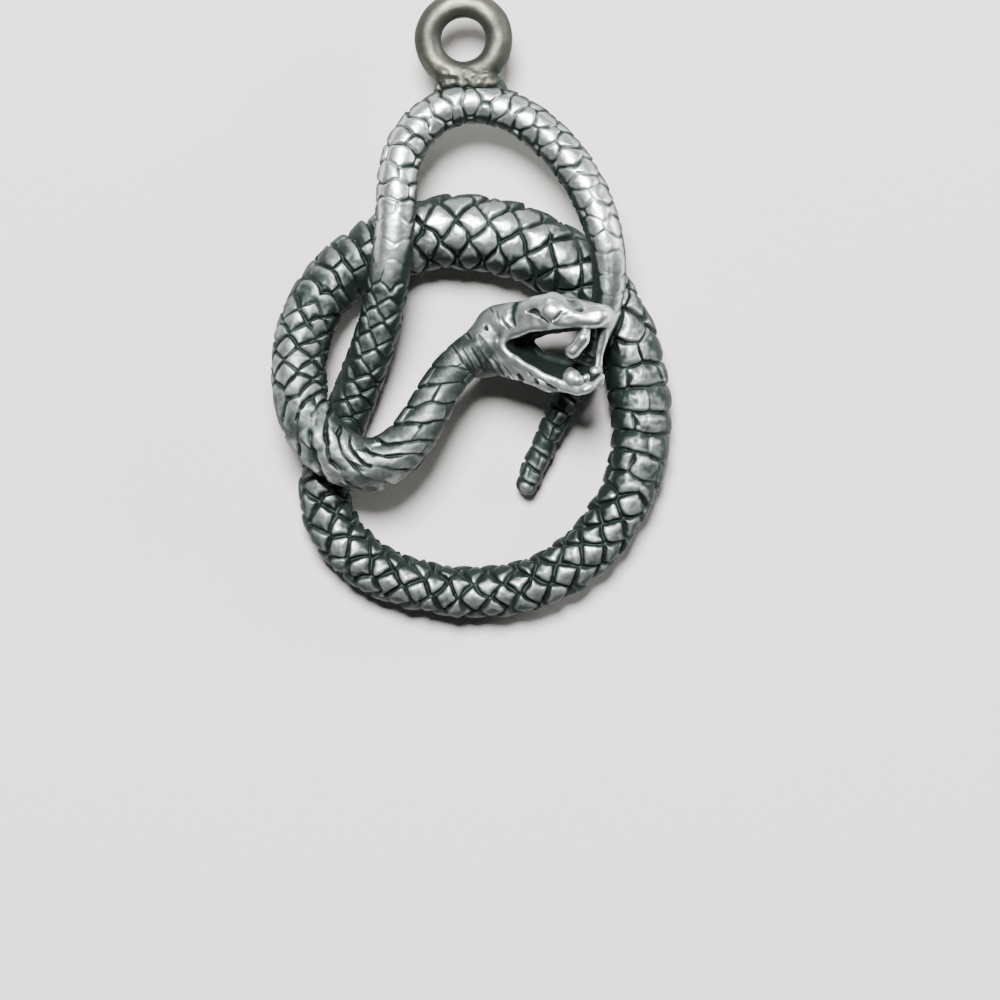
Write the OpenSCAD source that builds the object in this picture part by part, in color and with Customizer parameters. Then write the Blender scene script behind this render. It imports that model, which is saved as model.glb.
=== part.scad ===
// Cast silver pendant: one scaled snake, laid as a coil with a loop over it, and a ring on top.
// It lies on its back in millimetres: +Z is its front, +Y points to the ring.

/* [Ring] */
// Radius of the hole in the ring
ring_hole_r = 0.88; // [0.7:0.02:1]
// Thickness of the ring's round wire
ring_wire = 1.12; // [0.9:0.02:1.3]
// Length of the straight wall that the hole has at its middle
ring_land = 0.4; // [0.2:0.05:0.6]
// Height of the ring's middle above the surface
ring_z = 2.5; // [2.3:0.1:2.7]

/* [Scales] */
// Scales that lie side by side round the body
scales_round = 6; // [5:1:8]
// Length of half a scale, as a share of the body's thickness
half_scale = 0.25; // [0.22:0.01:0.35]
// Depth of the grooves between the scales, as a share of the body's radius
groove = 0.15; // [0.05:0.01:0.2]
// How far a scale's high point lies towards the tail, as a share of half a scale
scale_lean = 0.3; // [0:0.05:0.5]

/* [Head] */
// Angle by which the head turns up, towards the front of the pendant
head_turn = 26; // [15:1:30]
// Radius of each eye
eye_r = 0.46; // [0.35:0.02:0.55]
// Thickness of the rims of the lower jaw
jaw_rim = 0.36; // [0.25:0.01:0.45]
// Smoothness of the head's rounded forms
head_sides = 16; // [12:2:20]

/* [Hidden] */
silver = [0.62, 0.64, 0.62];
// Sides of the ring and of its wire
ring_sides = 64;
wire_sides = 32;
// How far the tip of the tail stands past its last scales, as a share of its radius
tail_point = 0.8;
// Thickness of the mouth's floor and of the keel, as shares of the jaw's rim
floor_share = 0.8;
keel_share = 1.5;

// Columns of every table of places: across, along, height or depth, and size
X = 0;
Y = 1;
Z = 2;
SIZE = 3;

// The body's middle line from the nape to the tip of the tail, and its thickness there
BODY = [
    [0.90, -1.30, 3.40, 1.75], [-0.38, -2.21, 3.40, 1.62], [-1.14, -3.17, 3.40, 1.66],
    [-1.70, -4.21, 3.35, 1.76], [-2.36, -5.36, 3.25, 1.88], [-3.22, -6.20, 3.18, 2.02],
    [-4.18, -6.45, 3.12, 2.10], [-5.16, -6.18, 3.10, 2.22], [-6.05, -5.45, 3.10, 2.25],
    [-6.65, -4.41, 3.05, 2.25], [-6.90, -3.21, 2.95, 2.22], [-6.88, -2.01, 2.75, 2.24],
    [-6.65, -0.81, 2.45, 2.28], [-5.90, 0.70, 1.95, 2.36], [-4.46, 1.85, 1.62, 2.55],
    [-2.90, 2.70, 1.52, 2.85], [-0.66, 3.06, 1.60, 3.04], [1.34, 2.76, 1.60, 3.04],
    [3.14, 2.02, 1.57, 2.98], [4.75, 0.96, 1.48, 2.80], [5.98, -0.66, 1.37, 2.60],
    [6.54, -2.41, 1.34, 2.54], [6.84, -4.21, 1.31, 2.48], [6.80, -6.05, 1.25, 2.36],
    [6.18, -7.85, 1.20, 2.26], [5.08, -9.50, 1.20, 2.26], [3.64, -10.74, 1.18, 2.22],
    [1.74, -11.46, 1.13, 2.12], [-0.26, -11.54, 1.11, 2.08], [-2.26, -11.28, 1.10, 2.06],
    [-4.10, -10.54, 1.13, 2.12], [-5.46, -9.28, 1.16, 2.18], [-6.06, -7.61, 1.15, 2.16],
    [-5.70, -6.01, 1.10, 1.98], [-5.00, -4.41, 1.25, 1.84], [-4.36, -2.81, 1.80, 1.80],
    [-3.78, -1.21, 2.55, 1.74], [-3.36, 0.39, 3.25, 1.66], [-3.10, 2.19, 3.70, 1.58],
    [-2.98, 3.99, 3.65, 1.62], [-2.92, 5.39, 3.35, 1.68], [-2.46, 6.75, 2.92, 1.66],
    [-1.20, 7.85, 2.60, 1.62], [0.34, 8.15, 2.50, 1.62], [1.84, 7.62, 2.55, 1.62],
    [3.10, 6.69, 2.78, 1.64], [4.18, 5.39, 3.10, 1.62], [4.98, 3.89, 3.42, 1.56],
    [5.42, 2.29, 3.56, 1.46], [5.56, 0.79, 3.30, 1.32], [5.26, -0.61, 2.65, 1.20],
    [4.76, -1.91, 2.00, 1.16], [4.16, -3.21, 1.50, 1.12], [3.42, -4.49, 1.15, 1.06],
    [2.98, -5.41, 0.95, 1.02], [2.58, -6.29, 0.82, 0.98], [2.34, -6.90, 0.74, 0.94],
    [2.20, -7.25, 0.70, 0.88],
];

// Rows of the table at which one stretch of the body ends and the next begins
FRONT_END = 16;
ROUND_END = 29;

// Where the corner of the mouth lies on the head's middle plane
MOUTH_AT = [1.78, -1.57, 3.3];

// Tables on the head measure forward, up, out from its middle plane, and a ball's radius.
// The skull's sections, from the nape to the snout
SKULL = [
    [-1.10, 0.25, 0.22, 0.86], [-0.30, 0.76, 0.36, 0.84], [0.90, 1.06, 0.44, 0.62],
    [2.10, 1.20, 0.42, 0.62], [3.45, 1.02, 0.28, 0.50],
];
// The brow ridge over an eye
BROW = [
    [0.35, 0.90, 0.86, 0.26], [0.95, 1.44, 0.84, 0.32], [1.95, 1.62, 0.78, 0.34],
    [2.65, 1.42, 0.68, 0.22],
];
// The raised edge of the upper lip
LIP = [
    [0.05, 0.20, 0.96, 0.26], [1.10, 0.66, 0.94, 0.24], [2.50, 0.90, 0.78, 0.24],
    [3.55, 0.90, 0.42, 0.28],
];
// The roof of the mouth
PALATE = [
    [0.10, 0.46, 0.50, 0.26], [1.20, 0.66, 0.46, 0.30], [2.30, 0.74, 0.36, 0.30],
    [3.20, 0.80, 0.20, 0.30],
];
// The throat, from the neck to the floor of the mouth
THROAT = [
    [-1.60, -0.55, 0.10, 0.78], [-0.70, -0.45, 0.30, 0.80], [0.15, -0.95, 0.30, 0.52],
];
// The lower jaw's rim on the near side
NEAR_RIM = [
    [-0.10, -0.34, 0.86], [0.60, -0.84, 0.83], [1.40, -1.26, 0.78], [2.25, -1.62, 0.66],
    [2.90, -1.84, 0.35],
];
// The lower jaw's rim on the far side, which stands higher
FAR_RIM = [
    [0.20, 0.00, -0.86], [0.60, -0.40, -0.84], [1.30, -0.66, -0.80], [2.50, -0.96, -0.74],
    [3.35, -1.42, -0.42],
];
// The keel under the lower jaw
KEEL = [
    [-0.10, -1.05, 0.10], [0.60, -1.35, 0.08], [1.50, -1.66, 0.05], [2.40, -1.78, 0.00],
    [3.05, -1.74, 0.00],
];
EYE_AT = [1.98, 1.32, 0.88];
NEAR_FANG = [[3.25, 0.45, 0.60, 0.24], [2.60, -0.54, 0.60, 0.21]];
FAR_FANG = [[3.50, 0.60, -0.60, 0.20], [3.08, -1.12, -0.68, 0.26]];
TONGUE = [[2.70, -1.34, 0.20, 0.36], [3.12, -1.38, 0.10, 0.14]];

// A table's row, with the first and last rows repeated past its ends
function row(table, i) = table[min(max(i, 0), len(table) - 1)];

// A place on the smooth curve that a table draws, where s counts its rows
function curve(table, s) =
    let (i = floor(s), t = s - i)
    ((1 - t) ^ 3 * row(table, i - 1) + (3 * t ^ 3 - 6 * t ^ 2 + 4) * row(table, i)
        + (-3 * t ^ 3 + 3 * t ^ 2 + 3 * t + 1) * row(table, i + 1) + t ^ 3 * row(table, i + 2)) / 6;

function last_of(list) = list[len(list) - 1];
function place(v) = [v[X], v[Y], v[Z]];
function unit(v) = v / norm(v);

// Half a scale's length at s, counted in rows of the body's table
nudge = 0.05;
function body_step(s) =
    let (here = curve(BODY, s), rate = norm(place(curve(BODY, s + nudge) - here)) / nudge)
    half_scale * here[SIZE] / rate;

// Where each ring of corners lies along the body, half a scale apart
RINGS = [for (s = 0; s < len(BODY) - 1; s = s + body_step(s)) s];
// The ring of corners that is nearest after a row of the table
function ring_after(r) = [for (i = [0:len(RINGS) - 1]) if (RINGS[i] >= r) i][0];

// Middle, side, upward and forward directions and radius at each ring of corners
FRAMES = [
    for (s = RINGS)
        let (
            here = curve(BODY, s),
            ahead = unit(place(curve(BODY, s + nudge) - curve(BODY, s - nudge))),
            side = unit(cross(ahead, [0, 0, 1]))
        )
        [place(here), side, cross(side, ahead), ahead, here[SIZE] / 2]
];
MIDDLE = 0;
SIDE = 1;
UP = 2;
AHEAD = 3;
RADIUS = 4;

around = 2 * scales_round;

// A corner of the skin: every second one is a scale's high point, and the others lie in a groove
function corner(i, j) =
    let (
        f = FRAMES[i], a = 360 * j / around, high = (i + j) % 2 == 0,
        r = f[RADIUS] * (high ? 1 + groove / 3 : 1 - groove * 2 / 3),
        lean = high && i > 0 && i < len(FRAMES) - 1 ? scale_lean * half_scale * 2 * f[RADIUS] : 0
    )
    f[MIDDLE] + r * (cos(a) * f[SIDE] + sin(a) * f[UP]) + lean * f[AHEAD];

// One stretch of the body between two rings of corners, with a point past its far end
module stretch(first, last, point) {
    rows = last - first;
    corners = [for (i = [first:last]) for (j = [0:around - 1]) corner(i, j)];
    ends = [FRAMES[first][MIDDLE], FRAMES[last][MIDDLE] + point * FRAMES[last][AHEAD]];
    tail_end = len(corners) + 1;
    function at(i, j) = i * around + j % around;
    skin = [
        for (i = [0:rows - 1]) for (j = [0:around - 1])
            each (first + i + j) % 2 == 0
                ? [[at(i, j + 1), at(i + 1, j), at(i, j)],
                   [at(i, j + 1), at(i + 1, j + 1), at(i + 1, j)]]
                : [[at(i + 1, j + 1), at(i + 1, j), at(i, j)],
                   [at(i, j + 1), at(i + 1, j + 1), at(i, j)]]
    ];
    caps = [
        for (j = [0:around - 1])
            each [[len(corners), at(0, j + 1), at(0, j)],
                  [tail_end, at(rows, j), at(rows, j + 1)]]
    ];
    polyhedron(concat(corners, ends), concat(skin, caps), convexity = 6);
}

module body() {
    front_end = ring_after(FRONT_END);
    round_end = ring_after(ROUND_END);
    stretch(0, front_end, 0);
    stretch(front_end, round_end, 0);
    stretch(round_end, len(RINGS) - 1, last_of(FRAMES)[RADIUS] * tail_point);
}

module ball(b) {
    translate(place(b)) sphere(r = b[SIZE], $fn = head_sides);
}

// Balls of one table joined in pairs, on one side of the head or on both
module chain(table) {
    for (i = [0:len(table) - 2]) hull() {
        ball(table[i]);
        ball(table[i + 1]);
    }
}

module both_sides() {
    children();
    mirror([0, 0, 1]) children();
}

// A broad form through a table's sections, each a ball and its mirror image
module broad(table) {
    for (i = [0:len(table) - 2]) hull() both_sides() {
        ball(table[i]);
        ball(table[i + 1]);
    }
}

module skull() {
    broad(SKULL);
    broad(PALATE);
    broad(THROAT);
    both_sides() {
        chain(BROW);
        chain(LIP);
        ball(concat(EYE_AT, eye_r));
    }
}

module lower_jaw() {
    rim_r = jaw_rim / 2;
    below = [0, -rim_r, 0];
    for (i = [0:len(KEEL) - 2]) hull() for (k = [i, i + 1]) {
        ball(concat(NEAR_RIM[k] + below, rim_r * floor_share));
        ball(concat(FAR_RIM[k] + below, rim_r * floor_share));
        ball(concat(KEEL[k], rim_r * keel_share));
    }
    chain([for (r = NEAR_RIM) concat(r, rim_r)]);
    chain([for (r = FAR_RIM) concat(r, rim_r)]);
    chain([for (r = [last_of(NEAR_RIM), last_of(FAR_RIM)]) concat(r, rim_r)]);
}

module fangs() {
    chain(NEAR_FANG);
    chain(FAR_FANG);
}

module tongue() {
    for (b = TONGUE) ball(b);
}

module head() {
    translate(MOUTH_AT) rotate([0, -head_turn, 0]) {
        skull();
        lower_jaw();
        fangs();
        tongue();
    }
}

// The round ring, with a short straight wall at the middle of its hole
ring_r = ring_hole_r + sqrt((ring_wire / 2) ^ 2 - (ring_land / 2) ^ 2);
RING_AT = [-0.32, 10.57, ring_z];

module ring() {
    color(silver) translate(RING_AT) difference() {
        rotate_extrude($fn = ring_sides) translate([ring_r, 0])
            circle(d = ring_wire, $fn = wire_sides);
        cylinder(r = ring_hole_r, h = ring_wire, center = true, $fn = ring_sides);
    }
}

// Where the ring meets the loop, silver fills the corner on each side
SOLDER = [[-0.75, 8.55, ring_z, 0.55], [0.70, 8.50, ring_z, 0.50]];

module solder() {
    chain(SOLDER);
}

module snake() {
    color(silver) {
        body();
        head();
        solder();
    }
}

snake();  // snake_pendant
ring();  // snake_pendant
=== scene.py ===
"""Cast silver snake pendant: scaled body, head, ring and solder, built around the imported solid.

The pendant lies on its back, +Z out of its front and +Y towards its ring. Meshes are made in
millimetres and set to metres when they are finished.
"""

import math

import bmesh
import bpy
import numpy as np
from bpy.props import FloatProperty, FloatVectorProperty, PointerProperty
from mathutils import Matrix, Vector, noise
from mathutils.bvhtree import BVHTree
from mathutils.kdtree import KDTree


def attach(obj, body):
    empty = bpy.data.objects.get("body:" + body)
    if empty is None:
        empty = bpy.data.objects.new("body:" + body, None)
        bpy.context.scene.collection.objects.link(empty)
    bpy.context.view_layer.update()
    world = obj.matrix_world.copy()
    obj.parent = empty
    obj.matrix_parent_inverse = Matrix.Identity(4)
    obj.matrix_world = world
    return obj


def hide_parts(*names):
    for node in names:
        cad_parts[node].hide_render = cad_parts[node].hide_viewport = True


bl_info = {
    "name": "Snake Pendant",
    "version": (1, 0, 0),
    "blender": (4, 5, 0),
    "location": "View3D > Sidebar > Pendant",
    "description": "Builds a cast silver snake pendant with engraved scales",
    "category": "Add Mesh",
}

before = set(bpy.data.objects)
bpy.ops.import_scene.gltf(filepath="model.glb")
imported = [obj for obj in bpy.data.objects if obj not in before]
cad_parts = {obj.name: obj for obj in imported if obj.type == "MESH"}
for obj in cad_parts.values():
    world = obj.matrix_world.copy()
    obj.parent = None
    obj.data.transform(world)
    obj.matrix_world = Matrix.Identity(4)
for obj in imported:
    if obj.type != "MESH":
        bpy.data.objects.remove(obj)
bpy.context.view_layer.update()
NODE = "snake_pendant"
BODY_NAME = "root"
MM = 0.001

# The body's middle line from the nape to the tip of the tail, in millimetres:
# across, along, height, thickness
BODY = np.array([
    (0.90, -1.30, 3.40, 1.75), (-0.38, -2.21, 3.40, 1.62), (-1.14, -3.17, 3.40, 1.66),
    (-1.70, -4.21, 3.35, 1.76), (-2.36, -5.36, 3.25, 1.88), (-3.22, -6.20, 3.18, 2.02),
    (-4.18, -6.45, 3.12, 2.10), (-5.16, -6.18, 3.10, 2.22), (-6.05, -5.45, 3.10, 2.25),
    (-6.65, -4.41, 3.05, 2.25), (-6.90, -3.21, 2.95, 2.22), (-6.88, -2.01, 2.75, 2.24),
    (-6.65, -0.81, 2.45, 2.28), (-5.90, 0.70, 1.95, 2.36), (-4.46, 1.85, 1.62, 2.55),
    (-2.90, 2.70, 1.52, 2.85), (-0.66, 3.06, 1.60, 3.04), (1.34, 2.76, 1.60, 3.04),
    (3.14, 2.02, 1.57, 2.98), (4.75, 0.96, 1.48, 2.80), (5.98, -0.66, 1.37, 2.60),
    (6.54, -2.41, 1.34, 2.54), (6.84, -4.21, 1.31, 2.48), (6.80, -6.05, 1.25, 2.36),
    (6.18, -7.85, 1.20, 2.26), (5.08, -9.50, 1.20, 2.26), (3.64, -10.74, 1.18, 2.22),
    (1.74, -11.46, 1.13, 2.12), (-0.26, -11.54, 1.11, 2.08), (-2.26, -11.28, 1.10, 2.06),
    (-4.10, -10.54, 1.13, 2.12), (-5.46, -9.28, 1.16, 2.18), (-6.06, -7.61, 1.15, 2.16),
    (-5.70, -6.01, 1.10, 1.98), (-5.00, -4.41, 1.25, 1.84), (-4.36, -2.81, 1.80, 1.80),
    (-3.78, -1.21, 2.55, 1.74), (-3.36, 0.39, 3.25, 1.66), (-3.10, 2.19, 3.70, 1.58),
    (-2.98, 3.99, 3.65, 1.62), (-2.92, 5.39, 3.35, 1.68), (-2.46, 6.75, 2.92, 1.66),
    (-1.20, 7.85, 2.60, 1.62), (0.34, 8.15, 2.50, 1.62), (1.84, 7.62, 2.55, 1.62),
    (3.10, 6.69, 2.78, 1.64), (4.18, 5.39, 3.10, 1.62), (4.98, 3.89, 3.42, 1.56),
    (5.42, 2.29, 3.56, 1.46), (5.56, 0.79, 3.30, 1.32), (5.26, -0.61, 2.65, 1.20),
    (4.76, -1.91, 2.00, 1.16), (4.16, -3.21, 1.50, 1.12), (3.42, -4.49, 1.15, 1.06),
    (2.98, -5.41, 0.95, 1.02), (2.58, -6.29, 0.82, 0.98), (2.34, -6.90, 0.74, 0.94),
    (2.20, -7.25, 0.70, 0.88),
])

# How the scales change along the body, at rows of the table above: scales round the body, the
# length of a ring of scales in millimetres, how far their edges are drawn to a point (0 plates,
# 1 diamonds), how many rings their lines lean, how deep and how wide the lines are, the share
# of them that is missing, how far the scales swell, and how thick the oxide lies. The oxide
# column is part oxide and part painted shade, and below 0 it paints a highlight.
PATTERN = np.array([
    (0.0, 4, 0.86, 0.10, -0.7, 0.3, 0.7, 0.35, 1.0, 0.78),
    (1.5, 4, 0.86, 0.10, -0.7, 0.3, 0.7, 0.35, 1.0, 0.78),
    (2.1, 4, 0.86, 0.10, -0.7, 1.0, 0.7, 0.35, 1.0, 0.76),
    (3.6, 4, 0.86, 0.10, -0.7, 1.0, 0.7, 0.35, 1.0, 0.75),
    (5.6, 6, 0.96, 0.05, -1.7, 1.35, 0.9, 0.97, 0.8, 0.76),
    (9.0, 6, 0.90, 0.05, -1.6, 1.35, 0.9, 0.94, 0.8, 0.80),
    (10.0, 6, 0.50, 0.80, -0.3, 1.2, 0.7, 0.50, 0.8, 0.80),
    (12.2, 6, 0.48, 0.95, 0.0, 1.2, 0.7, 0.50, 0.8, 0.82),
    (12.8, 5, 0.72, 0.15, 0.2, 1.2, 0.7, 0.40, 0.7, 0.92),
    (14.6, 5, 0.78, 0.15, 0.2, 1.2, 0.7, 0.35, 0.7, 0.92),
    (15.0, 5, 0.62, 1.00, 0.0, 1.1, 0.75, 0.30, 1.2, 0.15),
    (20.0, 5, 0.62, 1.00, 0.0, 1.1, 0.75, 0.30, 1.2, 0.62),
    (20.8, 5, 0.90, 0.10, 0.1, 1.0, 0.5, 0.50, 2.2, 0.88),
    (23.4, 5, 0.90, 0.15, 0.1, 1.0, 0.5, 0.50, 2.2, 0.86),
    (24.4, 5, 0.64, 0.85, 0.0, 1.2, 1.1, 0.30, 2.4, 0.93),
    (28.5, 5, 0.58, 0.80, 0.0, 1.2, 1.1, 0.35, 2.3, 0.91),
    (32.5, 5, 0.58, 0.80, 0.0, 1.2, 1.1, 0.35, 2.3, 0.99),
    (33.5, 5, 0.54, 0.75, 0.1, 1.0, 0.7, 0.40, 1.2, 0.99),
    (37.0, 5, 0.54, 0.75, 0.1, 1.0, 0.7, 0.40, 1.0, 0.92),
    (37.6, 4, 0.80, 0.30, 0.0, 0.2, 0.9, 0.60, 0.6, 0.60),
    (38.5, 4, 0.80, 0.30, 0.0, 0.2, 0.9, 0.60, 0.6, -0.40),
    (39.0, 4, 0.70, 0.30, 0.0, 1.0, 1.1, 0.50, 0.5, -0.20),
    (43.0, 4, 0.62, 0.40, 0.1, 1.0, 1.1, 0.45, 0.5, 0.00),
    (45.0, 4, 0.60, 0.50, 0.2, 1.0, 1.1, 0.40, 0.5, 0.12),
    (47.5, 4, 0.60, 0.50, 0.3, 0.7, 1.0, 0.50, 0.5, -0.05),
    (48.2, 4, 0.70, 0.20, 0.1, 0.30, 0.7, 0.70, 0.5, -0.40),
    (50.3, 4, 0.70, 0.20, 0.1, 0.30, 0.7, 0.70, 0.5, -0.40),
    (51.0, 5, 0.68, 0.05, 0.1, 1.4, 2.0, 0.65, 1.2, 0.98),
    (57.0, 5, 0.62, 0.00, 0.1, 1.4, 2.0, 0.65, 1.2, 0.95),
])
PATTERN_ROWS, SCALES_ROUND, RING_LENGTHS = PATTERN[:, :3].T

# The drawn edge of a scale curves by this power (1 is straight), its rim is rounded over this
# share of the body's thickness, and a cut that is missing counts as this many millimetres away
POINT_CURVE = 1.3
ROUNDED_RIM = 0.17
FAR_OFF = 9.0

# The clouds that wear lines off, press them wider, lift the skin in lumps and dents, and let the
# lines drift, in clouds for each millimetre
WORN, PRESSED, LUMPS, DENTS, DRIFT = 1.1, 1.7, 0.8, 3.5, 0.75

# The shades of a cloud between which lines grow from worn off to whole, how much that rises
# where all cuts are missing, the shades and the shares between which lines grow wider, and the
# heights of the lumps and dents as multiples of the unevenness
WORN_SHADES = (0.30, 0.58)
WORN_MORE = 0.14
PRESSED_SHADES = (0.36, 0.64)
PRESSED_WIDTHS = (0.6, 1.4)
LUMP_HEIGHT, DENT_HEIGHT = 2.0, 1.6

# The seeds of the white noise that leaves out cuts and tilts scales
CUT_SEED, TILT_SEED = 7.0, 1.0

# A mesh is smoothed by steps in, each followed by a longer step back out. The slight step back
# out rounds forms more.
STEP_IN = 0.50
STEP_OUT = 0.53
SLIGHT_STEP_OUT = 0.505

# The stretches that the body is made in: its name, and the rows at which it starts and ends
STRETCHES = (
    ("front_coil", 1.30, 15.45),
    ("round_coil_upper", 15.45, 22.0),
    ("round_coil_lower", 22.0, 33.2),
    ("loop", 33.2, 49.6),
    ("tail", 49.6, 57),
)

# How far a stretch runs on inside the next one, in millimetres, and the share by which it has
# grown thinner there
JOINT = 0.3
JOINT_SINK = 0.06

# The middle of the coils. Shade is painted on the sides that face it, on the front coil only at
# its left, from the first of these places across the pendant to the second.
COIL_MIDDLE = (0.0, -2.0)
LEFT_LIMB = (-5.0, -7.0)

# Painted shade on a piece's sides that turn away from the front, and how dark a whole piece is
SIDE_SHADE = {"head": 0.5, "loop": 3.0, "round_coil_lower": 2.4}
OTHER_SIDE_SHADE = 1.5
PIECE_DARK = {"head": 0.23, "ring": 0.15}

# What the tarnish and the painted light and shade go by, from where they start to count to where
# they count whole: the relief and the worn edges of scales, the crowns and hollows of a piece and
# the height over the table, in millimetres, and the share of open sky, the turn to the front and
# the turn to the coils' middle. The height, the open sky and both turns set painted shade, the
# crowns set rubbed silver with a painted highlight, and the head's hollows patina with painted
# shade.
SCALE_RELIEF = 0.012
SCALE_EDGES = (-0.0012, -0.012)
CROWNS = (-0.015, -0.045)
HOLLOWS = (0.0, 0.05)
LOW_SHADE = (3.2, 1.7)
OPEN_SKY = 0.8
TO_FRONT = 0.92
TO_MIDDLE = 0.15

# The power by which the height counts in the painted shade near the table, and how much the
# painted shade on the sides counts where they lie high
LOW_CURVE = 0.8
HIGH_SIDES = 0.55

# The least and the most that a point can be dark before it is blended with its neighbours, and
# the least oxide: what is below 0 makes silver brighter, as a painted highlight
DARK_RANGE = (-0.4, 1.1)
LEAST_OXIDE = -0.5

# The rounds of averaging that bring out the relief of the scales, and a piece's broad form
FINE_ROUNDS, BROAD_ROUNDS = 3, 30

# Millimetres from the skin at which rays start that look for open sky
RAY_START = 0.03

# Where the corner of the mouth lies on the head's middle plane
MOUTH_AT = (1.78, -1.57, 3.3)

# Places on the head are measured forward, up and out from its middle plane. The fourth number
# is the radius of a ball there.
SKULL = (
    (-0.79, 0.67, 0.30, 0.79), (-0.30, 0.76, 0.36, 0.84), (0.90, 1.06, 0.44, 0.64),
    (2.10, 1.20, 0.42, 0.62), (3.74, 1.02, 0.30, 0.46),
)
BROW = (
    (0.35, 0.80, 0.66, 0.46), (0.95, 1.26, 0.66, 0.52), (1.90, 1.42, 0.70, 0.56),
    (2.65, 1.24, 0.54, 0.44),
)
LIP = (
    (0.42, 0.42, 0.92, 0.24), (1.10, 0.62, 0.92, 0.26), (2.50, 0.86, 0.74, 0.34),
    (3.20, 0.88, 0.56, 0.38), (3.76, 0.90, 0.37, 0.38),
)
PALATE = (
    (0.10, 0.46, 0.50, 0.26), (1.20, 0.66, 0.46, 0.30), (2.30, 0.74, 0.36, 0.30),
    (3.20, 0.80, 0.20, 0.30),
)
THROAT = (
    (-1.60, -0.60, 0.10, 0.78), (-0.70, -0.45, 0.30, 0.80), (0.15, -0.95, 0.30, 0.52),
)

# The lower jaw: its two rims, its tip between them, and the keel under it
NEAR_RIM = (
    (0.08, -0.48, 0.86), (0.62, -0.84, 0.83), (1.40, -1.26, 0.78), (2.25, -1.62, 0.66),
    (2.85, -1.80, 0.38),
)
FAR_RIM = (
    (0.20, 0.00, -0.86), (0.60, -0.40, -0.84), (1.30, -0.66, -0.80), (2.50, -0.96, -0.74),
    (3.52, -1.38, -0.48),
)
JAW_TIP = (3.34, -1.70, -0.05)
KEEL = (
    (-0.10, -1.05, 0.10), (0.60, -1.35, 0.08), (1.50, -1.66, 0.05), (2.40, -1.78, 0.00),
    (3.12, -1.76, -0.05),
)
EYE_AT = (1.97, 1.14, 0.73)

# The fangs, and the lumps of the tongue
NEAR_FANG = (
    (3.28, 0.76, 0.30, 0.15), (3.28, 0.46, 0.48, 0.17), (3.24, 0.12, 0.62, 0.29),
    (3.02, -0.13, 0.64, 0.26), (2.80, -0.37, 0.64, 0.32),
)
FAR_FANG = (
    (3.52, 0.60, -0.60, 0.26), (3.46, 0.10, -0.64, 0.24), (3.34, -0.44, -0.68, 0.18),
    (3.26, -1.02, -0.68, 0.18), (3.22, -1.20, -0.62, 0.29),
)
TONGUE = (
    (2.62, -1.44, 0.34, 0.42), (2.86, -1.50, 0.38, 0.28), (2.56, -1.26, 0.30, 0.28),
    (3.14, -1.40, 0.15, 0.16),
)

# The middle of the open mouth, and of the hollow between the brows and the snout, where shade
# is painted
MOUTH_MIDDLE = (1.5, -0.25, 0.0)
SADDLE_AT = (2.75, 1.50, 0.00)

# The first skin of the head has cells larger by this factor
COARSER = 1.7

# A line on the head of this depth is wholly dark. Lines leave out what is this close to the
# middle plane or turns away more than this from the side.
DARK_LINE = 0.14
MIDDLE_STRIP = 0.05
TO_SIDE = 0.3

# Shade is painted in the mouth from where the skin turns this far to its middle, and ahead of
# its back. The fangs and the tongue stay bright to this distance.
MOUTH_TURN = (0.05, 0.40)
MOUTH_BACK = (-0.5, -0.2)
BRIGHT_NEAR = 0.12
# How dark the painted shade in the mouth is
MOUTH_SHADE = 0.5

# Where the head's oxide and painted shade start and where they are whole: oxide along the neck,
# and painted shade down the neck from its top, under the jaw, towards the far side, and towards
# the saddle's middle
NECK_OXIDE = (0.4, -0.8)
NECK_TOP_SHADE = (1.1, 0.1)
NECK_TOP_LEAST = 0.4
JAW_SHADE = (-0.7, -1.7)
FAR_SIDE_SHADE = (0.3, -0.3)
SADDLE_SHADE = (0.70, 0.35)

# The radii of the jaw's wall and keel as multiples of its rims'
JAW_WALL, JAW_KEEL = 0.8, 1.5

# The wall at the back of the mouth, on the far side
CHEEK = ((-0.15, 0.10, -0.62, 0.36), (0.12, -0.35, -0.66, 0.34))

# The hinge of the jaws, which bulges behind the mouth
HINGE = (
    (-0.55, 0.10, 0.48, 0.56), (-0.38, -0.30, 0.48, 0.56), (-0.04, -0.70, 0.52, 0.44),
)

# The rounded corner of the mouth, from the upper lip to the lower jaw
CORNER = (
    (0.42, 0.42, 0.92, 0.24), (0.06, 0.26, 0.93, 0.23), (-0.13, 0.02, 0.92, 0.22),
    (-0.12, -0.24, 0.90, 0.20), (0.08, -0.48, 0.86, 0.20),
)

# The neck's rows of the body's table, with its radius there
NECK = ((0.1, 0.87), (0.6, 0.81), (1.0, 0.80), (1.4, 0.78), (1.7, 0.74))

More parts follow.
